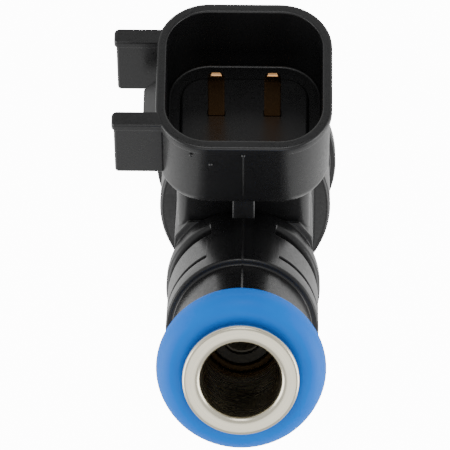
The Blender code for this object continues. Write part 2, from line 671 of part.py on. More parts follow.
def make_body(parts, helpers, nylon):
    """The moulded body: a turned core and a column, with the connector joined on, then everything cut in."""
    profile = [
        (0.0, NECK_TOP_Z),
        (NECK_R - 0.35, NECK_TOP_Z),
        (NECK_R, NECK_TOP_Z - 0.35),
        (NECK_R, BARREL_TOP_Z),
        (BARREL_R - 0.4, BARREL_TOP_Z),
        (BARREL_R - 0.12, BARREL_TOP_Z - 0.12),
        (BARREL_R, BARREL_TOP_Z - 0.4),
        (BARREL_R, CLIP_SLOT[0] + 0.5),
        (COLLAR_R, CLIP_SLOT[0] + 0.5),
        (COLLAR_R, COLLAR_BOTTOM_Z),
        (COLUMN_CORE_R, COLLAR_BOTTOM_Z),
        (COLUMN_CORE_R, COVER_TOP_Z),
        (COVER_R - 0.5, COVER_TOP_Z),
        (COVER_R - 0.15, COVER_TOP_Z - 0.15),
        (COVER_R, COVER_TOP_Z - 0.5),
        (COVER_R, COVER_FLANGE_TOP_Z),
        (COVER_FLANGE_R - 0.4, COVER_FLANGE_TOP_Z),
        (COVER_FLANGE_R, COVER_FLANGE_TOP_Z - 0.4),
        (COVER_FLANGE_R, COVER_BOTTOM_Z + 0.4),
        (COVER_FLANGE_R - 0.4, COVER_BOTTOM_Z),
        (0.0, COVER_BOTTOM_Z),
    ]
    body = turned("overmold_body", profile, parts, nylon, STEPS, closed=False)
    column = upright_plate("column", column_outline(), COVER_TOP_Z - 0.45, COLLAR_BOTTOM_Z + 0.45, helpers)
    gusset = front_rib("gusset", GUSSET_X, GUSSET_FRONT_Y, GUSSET_BOTTOM_Z, CLIP_SLOT[0] - 0.1, 0.2, helpers)
    web = front_rib("arm_web", WEB_X, WEB_FRONT_Y, WEB_BOTTOM_Z, WEB_TOP_Z, 1.0, helpers)
    added, cavity, island = connector_shapes(helpers)
    boolean(body, "UNION", as_cutter(column), gusset, web, *added)
    boolean(body, "DIFFERENCE", cavity)
    boolean(body, "UNION", island)
    bore = [
        (0.0, NECK_TOP_Z + 1.0),
        (TUBE_R + PRESS_GAP, NECK_TOP_Z + 1.0),
        (TUBE_R + PRESS_GAP, CORE_TOP_Z + PRESS_GAP),
        (CORE_R + PRESS_GAP, CORE_TOP_Z + PRESS_GAP),
        (CORE_R + PRESS_GAP, HOUSING_TOP_Z + PRESS_GAP),
        (HOUSING_R + PRESS_GAP, HOUSING_TOP_Z + PRESS_GAP),
        (HOUSING_R + PRESS_GAP, COVER_BOTTOM_Z - 1.0),
        (0.0, COVER_BOTTOM_Z - 1.0),
    ]
    boolean(body, "DIFFERENCE", as_cutter(turned("body_bore", bore, helpers, closed=False)))
    middle = 0.5 * (BARREL_TOP_Z + COLLAR_BOTTOM_Z)
    bridge_size = (2 * SLOT_BRIDGE_HALF, 3 * BARREL_R, BARREL_TOP_Z - COLLAR_BOTTOM_Z)
    bridge = as_cutter(block("slot_bridge", bridge_size, (0.0, 0.0, middle), helpers))
    for name, (low, high) in (("narrow_slot", NARROW_SLOT), ("clip_slot", CLIP_SLOT)):
        slot = as_cutter(tube(name, COLLAR_R + 1.0, SLOT_FLOOR_R, low, high, helpers))
        boolean(slot, "DIFFERENCE", bridge)
        boolean(body, "DIFFERENCE", slot)
    wide = BLADE_WIDE + 2 * PRESS_GAP
    for name, side in (("blade_slot_left", 1), ("blade_slot_right", -1)):
        slot = side_plate(name, blade_outline(PRESS_GAP), wide, side * 0.5 * BLADE_PITCH, helpers)
        boolean(body, "DIFFERENCE", as_cutter(slot))
    return body


def main():
    clear_scene()
    parts = new_collection("fuel_injector")
    helpers = new_collection("fuel_injector_helpers")
    stainless = new_material("stainless_tube", (0.60, 0.59, 0.55), 0.25, 1.0)
    blue = new_material("blue_seal", (0.03, 0.21, 0.55), 0.4)
    black = new_material("black_nylon", (0.02, 0.02, 0.02), 0.35)
    seal = new_material("brown_seal", (0.05, 0.02, 0.015), 0.5)
    blade_metal = new_material("blade_bronze", (0.75, 0.50, 0.28), 0.25, 1.0)
    brass = new_material("brass", (0.70, 0.50, 0.20), 0.3, 1.0)
    magnet_steel = new_material("magnetic_steel", (0.50, 0.50, 0.50), 0.35, 1.0)
    dark_steel = new_material("plated_can", (0.40, 0.40, 0.38), 0.4, 1.0)
    hard_steel = new_material("hardened_steel", (0.55, 0.55, 0.56), 0.15, 1.0)
    wire_steel = new_material("spring_wire", (0.45, 0.43, 0.40), 0.3, 1.0)
    gauze = new_material("filter_gauze", (0.35, 0.35, 0.33), 0.5, 1.0)
    bobbin_nylon = new_material("bobbin_nylon", (0.10, 0.09, 0.07), 0.5)
    enamel = new_material("enamelled_copper", (0.45, 0.12, 0.04), 0.35, 0.8)
    make_fuel_end(parts, stainless, blue)
    make_filter(parts, helpers, brass, bobbin_nylon, gauze)
    make_magnet(parts, helpers, magnet_steel, stainless, bobbin_nylon, enamel, dark_steel)
    make_valve(parts, helpers, magnet_steel, stainless, hard_steel, wire_steel)
    make_nozzle(parts, helpers, stainless, hard_steel, seal, black)
    make_blades(parts, blade_metal)
    make_body(parts, helpers, black)


main()
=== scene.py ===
"""Looks of the port fuel injector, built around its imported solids.

Sizes are in millimetres, unless said otherwise."""

import math

import bmesh
import bpy
import numpy as np
from mathutils import Matrix, Vector


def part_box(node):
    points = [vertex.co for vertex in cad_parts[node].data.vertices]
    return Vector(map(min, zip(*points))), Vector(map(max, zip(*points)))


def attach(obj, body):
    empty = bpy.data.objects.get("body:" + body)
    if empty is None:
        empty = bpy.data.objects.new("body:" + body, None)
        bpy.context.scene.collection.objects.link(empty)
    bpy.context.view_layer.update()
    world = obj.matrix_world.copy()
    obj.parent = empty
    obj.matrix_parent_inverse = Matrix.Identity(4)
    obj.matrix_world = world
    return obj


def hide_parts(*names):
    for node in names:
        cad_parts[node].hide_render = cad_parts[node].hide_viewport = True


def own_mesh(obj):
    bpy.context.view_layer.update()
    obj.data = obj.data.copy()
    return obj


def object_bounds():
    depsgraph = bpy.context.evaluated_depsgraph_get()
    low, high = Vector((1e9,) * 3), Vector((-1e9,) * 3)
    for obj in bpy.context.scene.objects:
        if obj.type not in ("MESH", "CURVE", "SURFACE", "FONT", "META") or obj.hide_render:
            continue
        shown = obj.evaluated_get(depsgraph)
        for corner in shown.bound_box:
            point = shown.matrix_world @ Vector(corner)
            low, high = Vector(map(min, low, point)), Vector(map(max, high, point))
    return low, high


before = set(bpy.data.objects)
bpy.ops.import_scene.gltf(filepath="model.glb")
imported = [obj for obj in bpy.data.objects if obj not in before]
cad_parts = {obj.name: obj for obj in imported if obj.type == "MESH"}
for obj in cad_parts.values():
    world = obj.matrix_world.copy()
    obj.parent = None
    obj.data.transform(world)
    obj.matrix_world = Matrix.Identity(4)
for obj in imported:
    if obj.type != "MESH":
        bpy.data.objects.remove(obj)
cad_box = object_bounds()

# ---------------------------------------------------------------------------------------------------------
# Stage. The injector stands on its nozzle on a flat, pale, backlit board inside a white light tent that is
# dimmer in front. There is a large soft lamp on each side, a larger one overhead and a smaller one in front.
# To the camera alone, board and tent shine FLOOR_GLOW and TENT_GLOW stronger, so that they come out white.

MM = 0.001
TILT = math.radians(20.62)
SWING = math.radians(-1.67)
ROLL = math.radians(2.1)
DISTANCE = 395.0
SENSOR_WIDE, LENS = 36.0, 340.7
AIM = Vector((1.79, -1.62, 29.95))

turn_to_view = Matrix.Rotation(SWING, 4, "Z") @ Matrix.Rotation(TILT, 4, "X")
turn_to_view = turn_to_view @ Matrix.Rotation(math.pi + ROLL, 4, "Z")
camera = bpy.data.objects.new("camera", bpy.data.cameras.new("camera"))
camera.data.sensor_width = SENSOR_WIDE
camera.data.lens = LENS
camera.data.clip_start = 0.01
camera.data.clip_end = 10.0
away = turn_to_view.to_3x3() @ Vector((0.0, 0.0, DISTANCE))
camera.matrix_world = Matrix.Translation((AIM + away) * MM) @ turn_to_view
bpy.context.scene.collection.objects.link(camera)
bpy.context.scene.camera = camera


def srgb(code):
    """The linear colour of a hex code: c/12.92 below 0.04045, ((c + 0.055)/1.055)^2.4 above."""
    values = [int(code[i:i + 2], 16) / 255 for i in (1, 3, 5)]
    values = [v / 12.92 if v <= 0.04045 else ((v + 0.055) / 1.055) ** 2.4 for v in values]
    return (*values, 1.0)


def add(tree, kind, sockets=(), **settings):
    """Adds a node. A socket is given a value, or another node's output to link to it."""
    node = tree.nodes.new(kind)
    for name, value in settings.items():
        setattr(node, name, value)
    for name, value in dict(sockets).items():
        if isinstance(value, bpy.types.NodeSocket):
            tree.links.new(value, node.inputs[name])
        else:
            node.inputs[name].default_value = value
    return node


# Opal acrylic, matt and pale grey, lit from behind.
FLOOR_LIGHT, FLOOR_GLOW = 0.42, 12.0
FLOOR_GAP, FLOOR_REACH = 0.05, 3000.0
floor_board = bpy.data.materials.new("backlit_opal_acrylic")
floor_board.use_nodes = True
floor_shader = floor_board.node_tree.nodes["Principled BSDF"]
floor_shader.inputs["Base Color"].default_value = srgb("#c9c9c8")
floor_shader.inputs["Roughness"].default_value = 0.9
floor_shader.inputs["Specular IOR Level"].default_value = 0.1
floor_shader.inputs["Emission Color"].default_value = (1.0, 1.0, 1.0, 1.0)
seen = add(floor_board.node_tree, "ShaderNodeLightPath").outputs["Is Camera Ray"]
glow = add(floor_board.node_tree, "ShaderNodeMath", {0: seen, 1: FLOOR_GLOW, 2: FLOOR_LIGHT},
           operation="MULTIPLY_ADD")
floor_board.node_tree.links.new(glow.outputs[0], floor_shader.inputs["Emission Strength"])
floor_z = cad_box[0][2] - FLOOR_GAP * MM
floor_mesh = bpy.data.meshes.new("floor")
reach = FLOOR_REACH * MM
floor_corners = [(-reach, -reach, floor_z), (reach, -reach, floor_z), (reach, reach, floor_z),
                 (-reach, reach, floor_z)]
floor_mesh.from_pydata(floor_corners, [], [(0, 1, 2, 3)])
floor_mesh.materials.append(floor_board)
floor = bpy.data.objects.new("floor", floor_mesh)
bpy.context.scene.collection.objects.link(floor)

# The tent's light falls to the share TENT_FRONT of itself where a direction's Y passes from FRONT_START to
# FRONT_FULL, straight in front.
TENT_LIGHT, TENT_GLOW = 0.8, 12.0
TENT_FRONT, FRONT_START, FRONT_FULL = 0.3, -0.7, -0.97
tent = bpy.data.worlds.new("light_tent")
tent.use_nodes = True
tent.node_tree.nodes["Background"].inputs["Color"].default_value = (1.0, 1.0, 1.0, 1.0)
seen = add(tent.node_tree, "ShaderNodeLightPath").outputs["Is Camera Ray"]
way = add(tent.node_tree, "ShaderNodeTexCoord").outputs["Generated"]
toward = add(tent.node_tree, "ShaderNodeSeparateXYZ", {0: way})
shade = add(tent.node_tree, "ShaderNodeMapRange",
            {"Value": toward.outputs[1], "From Min": FRONT_FULL, "From Max": FRONT_START,
             "To Min": TENT_FRONT * TENT_LIGHT, "To Max": TENT_LIGHT})
glow = add(tent.node_tree, "ShaderNodeMath", {0: seen, 1: TENT_GLOW, 2: shade.outputs[0]},
           operation="MULTIPLY_ADD")
tent.node_tree.links.new(glow.outputs[0], tent.node_tree.nodes["Background"].inputs["Strength"])
bpy.context.scene.world = tent

# Each lamp's place, its square side, and its power in watts.
for name, place, size, power in (
    ("left_lamp", (340.0, 60.0, 120.0), 300.0, 1.1),
    ("right_lamp", (-340.0, 60.0, 120.0), 300.0, 1.2),
    ("top_lamp", (0.0, 230.0, 660.0), 420.0, 0.7),
    ("front_lamp", (0.0, -410.0, 330.0), 220.0, 0.5),
):
    lamp = bpy.data.objects.new(name, bpy.data.lights.new(name, "AREA"))
    lamp.data.size = size * MM
    lamp.data.energy = power
    lamp.location = Vector(place) * MM
    lamp.rotation_euler = (AIM - Vector(place)).to_track_quat("-Z", "Y").to_euler()
    bpy.context.scene.collection.objects.link(lamp)


# ---------------------------------------------------------------------------------------------------------
# Inlet tube. Deep-drawn stainless steel, its mouth rolled out into a flange and then trimmed and polished,
# which leaves fine rings round the flange and a rounded lip. It is pressed over the fixed core.


def rounded(corners, radii, steps=5, closed=True):
    """Rounds an outline. Corner C becomes (1-t)^2 A + 2t(1-t) C + t^2 B, with A and B one radius back along
    its two edges, or 0.45 of a short edge. The last axis of corners holds the coordinates."""
    corners = np.asarray(corners, float)
    back = np.roll(corners, 1, axis=0) - corners
    on = np.roll(corners, -1, axis=0) - corners
    back_long = np.maximum(np.linalg.norm(back, axis=-1, keepdims=True), 1e-9)
    on_long = np.maximum(np.linalg.norm(on, axis=-1, keepdims=True), 1e-9)
    radii = np.asarray(radii, float).reshape((-1,) + (1,) * (corners.ndim - 1))
    cut = np.minimum(radii, 0.45 * np.minimum(back_long, on_long))
    first = (corners + back / back_long * cut)[:, None]
    last = (corners + on / on_long * cut)[:, None]
    t = np.linspace(0.0, 1.0, steps).reshape((1, -1) + (1,) * (corners.ndim - 1))
    curve = (1 - t) ** 2 * first + 2 * t * (1 - t) * corners[:, None] + t ** 2 * last
    curve = curve.reshape((-1,) + corners.shape[1:])
    if closed:
        return curve
    middle = curve[steps:-steps]
    return np.concatenate([corners[:1], middle, corners[-1:]])


def turn(profile, around=128):
    """A grid of (r cos a, r sin a, z), with (r, z) along the profile and a once round the Z axis."""
    angle = np.linspace(0.0, 2 * math.pi, around, endpoint=False)
    r, z = np.asarray(profile, float).T
    flat = np.ones_like(angle)
    return np.stack([np.outer(r, np.cos(angle)), np.outer(r, np.sin(angle)), np.outer(z, flat)], axis=-1)


def skin(name, grid, closed_rows=True, crease=40.0):
    """A mesh object from a grid of points in mm: rows of the grid are joined to the next, and each row is a
    ring. With closed_rows the last row joins the first, or else the end rows meet in poles."""
    rows, around = grid.shape[:2]
    index = np.arange(rows * around).reshape(rows, around)
    following = np.roll(index, -1, axis=0) if closed_rows else index[1:]
    start = index if closed_rows else index[:-1]
    faces = np.stack([start, following, np.roll(following, -1, axis=1), np.roll(start, -1, axis=1)], axis=-1)
    mesh = bpy.data.meshes.new(name)
    mesh.from_pydata((grid.reshape(-1, 3) * MM).tolist(), [], faces.reshape(-1, 4).tolist())
    return closed_piece(name, mesh, crease)


def closed_piece(name, mesh, crease=40.0, flat=0.02, weld=0.0008):
    """Merges points within weld mm and faces within the flat angle of each other, turns the faces out,
    shades smooth up to the crease angle, and lets the larger faces hold the normals."""
    bm = bmesh.new()
    bm.from_mesh(mesh)
    bmesh.ops.remove_doubles(bm, verts=bm.verts, dist=weld * MM)
    bmesh.ops.dissolve_limit(bm, angle_limit=math.radians(flat), verts=bm.verts, edges=bm.edges)
    bmesh.ops.recalc_face_normals(bm, faces=bm.faces)
    bm.to_mesh(mesh)
    bm.free()
    mesh.shade_smooth()
    mesh.set_sharp_from_angle(angle=math.radians(crease))
    piece = bpy.data.objects.new(name, mesh)
    bpy.context.scene.collection.objects.link(piece)
    even = piece.modifiers.new("even_normals", "WEIGHTED_NORMAL")
    even.keep_sharp = True
    return piece


def fit(piece, material, body, slot, *nodes):
    """Dresses a piece, sets the body that it rides on, and hides the solids that it stands for."""
    piece.data.materials.clear()
    piece.data.materials.append(material)
    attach(piece, body)
    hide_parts(*nodes)
    return piece


def surface_finish(name, light, dark, rough, grain, relief, lay="moulded", metallic=0.0, tone=6.0, **sockets):
    """A material whose colour drifts between two tones over patches of tone mm. Its relief, relief mm deep,
    follows a grain of grain mm, and its roughness runs between the two values of rough with the sum of both
    patterns, most of which lies between 0.7 and 1.3. Lay "moulded" is even in all directions. Lay "turned"
    reads (distance from the axis, height), and a little of the place itself, so that the grain becomes rings
    that wander slightly, as a lathe or a drawing die leaves them."""
    material = bpy.data.materials.new(name)
    material.use_nodes = True
    tree = material.node_tree
    shader = tree.nodes["Principled BSDF"]
    for socket, value in {"Metallic": metallic, **sockets}.items():
        shader.inputs[socket.replace("_", " ")].default_value = value
    place = add(tree, "ShaderNodeTexCoord").outputs["Object"]
    marks = place
    if lay == "turned":
        parts = add(tree, "ShaderNodeSeparateXYZ", {0: place})
        flat = add(tree, "ShaderNodeCombineXYZ", {0: parts.outputs[0], 1: parts.outputs[1]})
        radius = add(tree, "ShaderNodeVectorMath", {0: flat.outputs[0]}, operation="LENGTH")
        rings = add(tree, "ShaderNodeCombineXYZ", {0: radius.outputs["Value"], 1: parts.outputs[2]})
        drift = add(tree, "ShaderNodeVectorMath", {0: place, "Scale": 0.03}, operation="SCALE")
        marks = add(tree, "ShaderNodeVectorMath", {0: rings.outputs[0], 1: drift.outputs[0]}).outputs[0]
    patches = add(tree, "ShaderNodeTexNoise", {"Vector": place, "Scale": 1000.0 / tone, "Detail": 3.0})
    fine = add(tree, "ShaderNodeTexNoise", {"Vector": marks, "Scale": 1000.0 / grain, "Detail": 2.0})
    colour = add(tree, "ShaderNodeMix", {0: patches.outputs[0], 6: srgb(dark), 7: srgb(light)},
                 data_type="RGBA")
    tree.links.new(colour.outputs[2], shader.inputs["Base Color"])
    both = add(tree, "ShaderNodeMath", {0: patches.outputs[0], 1: fine.outputs[0]})
    spread = add(tree, "ShaderNodeMapRange", {"Value": both.outputs[0], "From Min": 0.7, "From Max": 1.3,
                                              "To Min": rough[0], "To Max": rough[1]})
    tree.links.new(spread.outputs[0], shader.inputs["Roughness"])
    bump = add(tree, "ShaderNodeBump", {"Height": fine.outputs[0], "Strength": 1.0, "Distance": relief * MM})
    tree.links.new(bump.outputs["Normal"], shader.inputs["Normal"])
    return material


# Drawn and polished stainless steel: warm grey, satin, with faint rings. The real ones are finer, and are
# drawn 0.3 mm apart to show.
drawn_stainless = surface_finish("drawn_stainless", "#e2dcc8", "#cbc4ae", (0.22, 0.32), 0.3, 0.0003,
                                 "turned", 1.0, 5.0, Anisotropic=0.3)

TUBE_R, TUBE_BORE_R = 3.8, 3.4
FLANGE_R, FLANGE_THICK, LIP = 5.05, 0.9, 0.8
tube_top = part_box("inlet_tube")[1].z / MM
tube_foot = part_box("inlet_tube")[0].z / MM
profile = rounded(
    [(FLANGE_R, tube_top), (FLANGE_R, tube_top - FLANGE_THICK), (TUBE_R, tube_top - FLANGE_THICK),
     (TUBE_R, tube_foot), (TUBE_BORE_R, tube_foot), (TUBE_BORE_R, tube_top)],
    [0.42, 0.42, 0.15, 0.1, 0.08, LIP], steps=9)
fit(skin("inlet_tube_drawn", turn(profile, 160)), drawn_stainless, "body", "stainless_tube", "inlet_tube")


# ---------------------------------------------------------------------------------------------------------
# O-rings. Compression-moulded rings of round section: blue fluorosilicone at the fuel rail and brown
# fluorocarbon at the manifold. The mould halves leave a fine flash line round the outside.

FLASH_HIGH, FLASH_WIDE = 0.035, 0.09
FLASH_ARC = 0.09


def o_ring(name, node, material, slot):
    """A torus (R + s cos b, s sin b), with a ridge of height h exp(-(s b / w)^2) where b is near 0. There are
    extra rows within FLASH_ARC radians of b = 0, to carry the ridge."""
    low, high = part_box(node)
    section = 0.5 * (high.z - low.z) / MM
    middle = high.x / MM - section
    b = np.linspace(-math.pi, math.pi, 72, endpoint=False)
    b = np.sort(np.concatenate([b, np.linspace(-FLASH_ARC, FLASH_ARC, 8)]))
    ridge = FLASH_HIGH * np.exp(-((section * b / FLASH_WIDE) ** 2))
    s = section - FLASH_HIGH + ridge
    centre_z = 0.5 * (high.z + low.z) / MM
    profile = np.stack([middle + s * np.cos(b), centre_z + s * np.sin(b)], axis=-1)
    return fit(skin(name, turn(profile, 160), crease=60.0), material, "body", slot, node)


# Fluorosilicone: clear mid blue, satin from the mould, with a faint fine grain.
fluorosilicone = surface_finish("blue_fluorosilicone", "#0074de", "#0069d2", (0.4, 0.52), 0.35, 0.0012,
                                tone=3.0, IOR=1.41, Specular_IOR_Level=0.25)
# Fluorocarbon: dark chocolate brown, satin from the mould.
fluorocarbon = surface_finish("brown_fluorocarbon", "#3c2620", "#2e1c17", (0.38, 0.52), 0.35, 0.0015,
                              tone=3.0, IOR=1.41)
o_ring("rail_seal", "upper_o_ring", fluorosilicone, "blue_seal")
o_ring("manifold_seal", "lower_o_ring", fluorocarbon, "brown_seal")


# ---------------------------------------------------------------------------------------------------------
# Inlet filter. A brass ring pressed into the tube holds a moulded nylon cage with four windows, lined with
# woven cloth. Only the ring and the cage's mouth show, deep in the bore.

# Drawn brass, dulled dark brown, with drawing rings 0.12 mm apart.
drawn_brass = surface_finish("drawn_brass", "#3c3022", "#281f15", (0.4, 0.55), 0.12, 0.0015,
                             "turned", 1.0, 3.0)
# Brown-black nylon, matt from the mould.
cage_nylon = surface_finish("cage_nylon", "#16120f", "#0e0b09", (0.45, 0.6), 0.2, 0.003, tone=2.0)

RING_BORE_R = 2.75
low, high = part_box("filter_ring")
profile = rounded(
    [(high.x / MM, high.z / MM), (high.x / MM, low.z / MM), (RING_BORE_R, low.z / MM),
     (RING_BORE_R, high.z / MM)], [0.15, 0.1, 0.1, 0.25])
fit(skin("filter_ring_drawn", turn(profile, 96)), drawn_brass, "body", "filter_brass", "filter_ring")

# Plain-woven filter cloth: the product of two crossed sine waves, one round the cage and one along it,
# with one wave to a thread. The real threads are closer, and are drawn 0.12 mm apart to show.
THREAD, THREAD_LIFT = 0.12, 0.04
gauze = bpy.data.materials.new("woven_filter_cloth")
gauze.use_nodes = True
tree = gauze.node_tree
shader = tree.nodes["Principled BSDF"]
place = add(tree, "ShaderNodeTexCoord").outputs["Object"]
parts = add(tree, "ShaderNodeSeparateXYZ", {0: place})
bearing = add(tree, "ShaderNodeMath", {0: parts.outputs[1], 1: parts.outputs[0]}, operation="ARCTAN2")
cloth_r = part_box("filter_mesh")[1].x
along = add(tree, "ShaderNodeMath", {0: parts.outputs[2], 1: 2 * math.pi / (THREAD * MM)},
            operation="MULTIPLY")
across = add(tree, "ShaderNodeMath", {0: bearing.outputs[0], 1: round(2 * math.pi * cloth_r / (THREAD * MM))},
             operation="MULTIPLY")
warp = add(tree, "ShaderNodeMath", {0: across.outputs[0]}, operation="SINE")
weft = add(tree, "ShaderNodeMath", {0: along.outputs[0]}, operation="SINE")
over = add(tree, "ShaderNodeMath", {0: warp.outputs[0], 1: weft.outputs[0]}, operation="MULTIPLY")
lift = add(tree, "ShaderNodeMapRange", {"Value": over.outputs[0], "From Min": -1.0})
# The colour runs from dark where the weave is low to light where it is raised: painted shade in the weave's
# hollows.
weave_shade = add(tree, "ShaderNodeMix", {0: lift.outputs[0], 6: srgb("#3a3934"), 7: srgb("#8f8c82")},
           data_type="RGBA")
raised = add(tree, "ShaderNodeBump", {"Height": lift.outputs[0], "Distance": THREAD_LIFT * MM})
tree.links.new(weave_shade.outputs[2], shader.inputs["Base Color"])
tree.links.new(raised.outputs["Normal"], shader.inputs["Normal"])
shader.inputs["Roughness"].default_value = 0.5


def restyle(material, *nodes):
    """Gives solids that keep their own shape a finished material."""
    for node in nodes:
        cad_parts[node].material_slots[0].material = material


restyle(gauze, "filter_mesh")
restyle(cage_nylon, "filter_frame")


# ---------------------------------------------------------------------------------------------------------
# Moulded body. Black glass-filled nylon, injected round the finished tube, coil and blades in one shot. The
# tool opens along the X = 0 plane, which leaves a witness line down the neck, barrel and connector.

# Glass-filled nylon: near black, satin where it filled well, with faint flow marks and a fine grain.
glass_filled_nylon = surface_finish("glass_filled_nylon", "#171718", "#101011", (0.24, 0.38), 0.28, 0.0022,
                                    tone=7.0, IOR=1.53, Specular_IOR_Level=0.4)

NECK_R, NECK_TOP = 6.1, 58.75
BARREL_R, BARREL_TOP = 6.75, 51.9
COLLAR_R, COLLAR_LOW = 6.95, 40.0
# Each pair of clip slots: lowest and highest height, rounding of the upper and the lower edge, and half the
# width of the bridges that divide the pair, where Y is greatest and least.
SLOTS = ((48.95, 49.55, 0.16, 0.12, 3.3), (42.3, 44.1, 0.15, 0.55, 2.95))
SLOT_FLOOR_R, BRIDGE_SIDE = 5.5, 0.2
COVER_TOP, COVER_R = 20.75, 8.1
FOOT_TOP, FOOT_R, FOOT_LOW = 8.25, 8.75, 5.35
COLUMN_HALF_X, COLUMN_HALF_Y = 6.25, 5.7
COLUMN_BEVEL_X, COLUMN_BEVEL_Y = 1.3, 1.5
WITNESS_HIGH, WITNESS_WIDE = 0.065, 0.06

# The angles round the body, in radians: even steps, with more at the witness lines and the bridges' sides.
even = np.linspace(0.0, 2 * math.pi, 288, endpoint=False)
fine = np.linspace(-0.03, 0.03, 13)
bridges = [math.asin(slot[-1] / BARREL_R) for slot in SLOTS]
edges = np.concatenate([quarter + fine for quarter in (0.5 * math.pi, 1.5 * math.pi)])
ends = np.concatenate([quarter + side * bridge + 2.0 * fine for quarter in (0.5 * math.pi, 1.5 * math.pi)
                       for side in (-1, 1) for bridge in bridges])
angle = np.unique(np.round(np.concatenate([even, edges, ends]) % (2 * math.pi), 4))
cosine, sine = np.cos(angle), np.sin(angle)


def column_radius():
    """Distance from the axis along u to a bevelled rectangle, as a soft minimum over its sides, each with a
    normal n and a distance d: (sum of (n.u / d)^p)^(-1/p), where p is sharp."""
    sharp = 130.0
    bevel = np.array([COLUMN_BEVEL_Y, COLUMN_BEVEL_X]) / math.hypot(COLUMN_BEVEL_X, COLUMN_BEVEL_Y)
    bevel_far = bevel @ np.array([COLUMN_HALF_X, COLUMN_HALF_Y - COLUMN_BEVEL_Y])
    sides = [np.abs(cosine) / COLUMN_HALF_X, np.abs(sine) / COLUMN_HALF_Y,
             (bevel[0] * np.abs(cosine) + bevel[1] * np.abs(sine)) / bevel_far]
    return sum(side ** sharp for side in sides) ** (-1.0 / sharp)


def stations():
    """The body's outline from the top down: a list of (radius at each angle, height, rounding). A slot's
    floor runs out into its bridge over BRIDGE_SIDE mm, as 3 t^2 - 2 t^3. Where the radii of two corners can
    meet, the corners are a small step apart in height, so that they don't merge."""
    step = 0.001
    ring = np.ones_like(angle)
    away = np.abs(BARREL_R * cosine)
    column = column_radius()
    rows = [(0 * ring, NECK_TOP, 0), (NECK_R * ring, NECK_TOP, 0.35), (NECK_R * ring, BARREL_TOP, 0.25),
            (BARREL_R * ring, BARREL_TOP, 0.4)]
    for low, high, soft_top, soft_low, bridge_half in SLOTS:
        cut = np.clip((away - bridge_half + 0.5 * BRIDGE_SIDE) / BRIDGE_SIDE, 0.0, 1.0)
        cut = cut * cut * (3 - 2 * cut)
        below = COLLAR_R if low == SLOTS[-1][0] else BARREL_R
        rows += [(BARREL_R * ring, high, soft_top),
                 (BARREL_R + (SLOT_FLOOR_R - BARREL_R) * cut, high - step, 0.1),
                 (below + (SLOT_FLOOR_R - below) * cut, low + step, 0.1), (below * ring, low, soft_low)]
    rows += [(COLLAR_R * ring, COLLAR_LOW, 0.35), (column, COLLAR_LOW - step, 0.4), (column, COVER_TOP, 0.5),
             (COVER_R * ring, COVER_TOP, 0.5), (COVER_R * ring, FOOT_TOP, 0.3),
             (FOOT_R * ring, FOOT_TOP, 0.4), (FOOT_R * ring, FOOT_LOW, 0.4), (0 * ring, FOOT_LOW, 0)]
    return rows


# The witness line is a ridge h exp(-(x / w)^2), which stops short of the poles on the axis.
WITNESS_FROM_R = 3.0
rows = stations()
outline = np.stack([np.stack([radius, height * np.ones_like(radius)], axis=-1)
                    for radius, height, soft in rows])
outline = rounded(outline, [soft for radius, height, soft in rows], steps=6, closed=False)
witness = WITNESS_HIGH * np.exp(-((outline[..., 0] * cosine / WITNESS_WIDE) ** 2))
radius = outline[..., 0] + witness * (outline[..., 0] > WITNESS_FROM_R)
body_grid = np.stack([radius * cosine, radius * sine, outline[..., 1]], axis=-1)
body_core = skin("body_core", body_grid, closed_rows=False)

# The connector stands in a frame of its own, turned about X: x, a across it towards the inlet, o out of it.
LEAN = math.radians(55.0)
ROOT_Z, RIM = 31.0, 26.4


def lean(points):
    """Points (x, a, o) of the connector's frame turned into the injector's."""
    x, a, o = np.moveaxis(np.asarray(points, float), -1, 0)
    y = a * math.cos(LEAN) - o * math.sin(LEAN)
    z = ROOT_Z + a * math.sin(LEAN) + o * math.cos(LEAN)
    return np.stack([x, y, z], axis=-1)


def loft(rows, centre=(0.0, 0.0), around=20, steps=6):
    """A solid from rounded rectangles: each row is (half x, half a, corner radius, o, rounding). A point at
    angle t in a corner is (half - corner) + corner (cos t, sin t). The rows are rounded along the way out."""
    t = np.linspace(0.0, 0.5 * math.pi, around)
    t = np.concatenate([t + 0.5 * math.pi * i for i in range(4)])
    sign_x = np.repeat([1.0, -1.0, -1.0, 1.0], around)
    sign_a = np.repeat([1.0, 1.0, -1.0, -1.0], around)
    half_x, half_a, corner, out, soft = np.array(rows, float).T[:, :, None]
    x = sign_x * (half_x - corner) + corner * np.cos(t)
    a = sign_a * (half_a - corner) + corner * np.sin(t)
    rings = np.stack([x + centre[0], a + centre[1], out + 0 * x], axis=-1)
    return rounded(rings, soft.ravel(), steps, closed=False)


# The shroud is an oval tube with a bead round its rim, over a shallow groove. In it an island stands round
# the blades, inside a moat.
SHROUD_X, SHROUD_A, SHROUD_CORNER, SHROUD_SHIFT = 7.55, 7.75, 4.5, -0.1
SHROUD_DEEP = 8.9
BEAD_PROUD, BEAD_DEEP, BEAD_RAMP = 0.18, 0.95, 0.05
GROOVE_DEEP, GROOVE_WIDE, GROOVE_RAMP = 0.07, 0.12, 0.06
CAVITY_X, CAVITY_A, CAVITY_CORNER = 6.85, 6.95, 3.75
FLOOR_DEEP, MOAT_DEEP = 7.4, 8.0
ISLAND_X, ISLAND_A, ISLAND_CORNER, ISLAND_INSET = 5.7, 5.2, 2.1, 0.8
bead_low = RIM - BEAD_DEEP
shroud_low = RIM - SHROUD_DEEP
wall_out = (SHROUD_X, SHROUD_A, SHROUD_CORNER)
groove = tuple(size - GROOVE_DEEP for size in wall_out)
bead = tuple(size + BEAD_PROUD for size in wall_out)
cavity = (CAVITY_X, CAVITY_A, CAVITY_CORNER)
island = (ISLAND_X, ISLAND_A, ISLAND_CORNER)
island_middle = tuple(size - ISLAND_INSET for size in island)
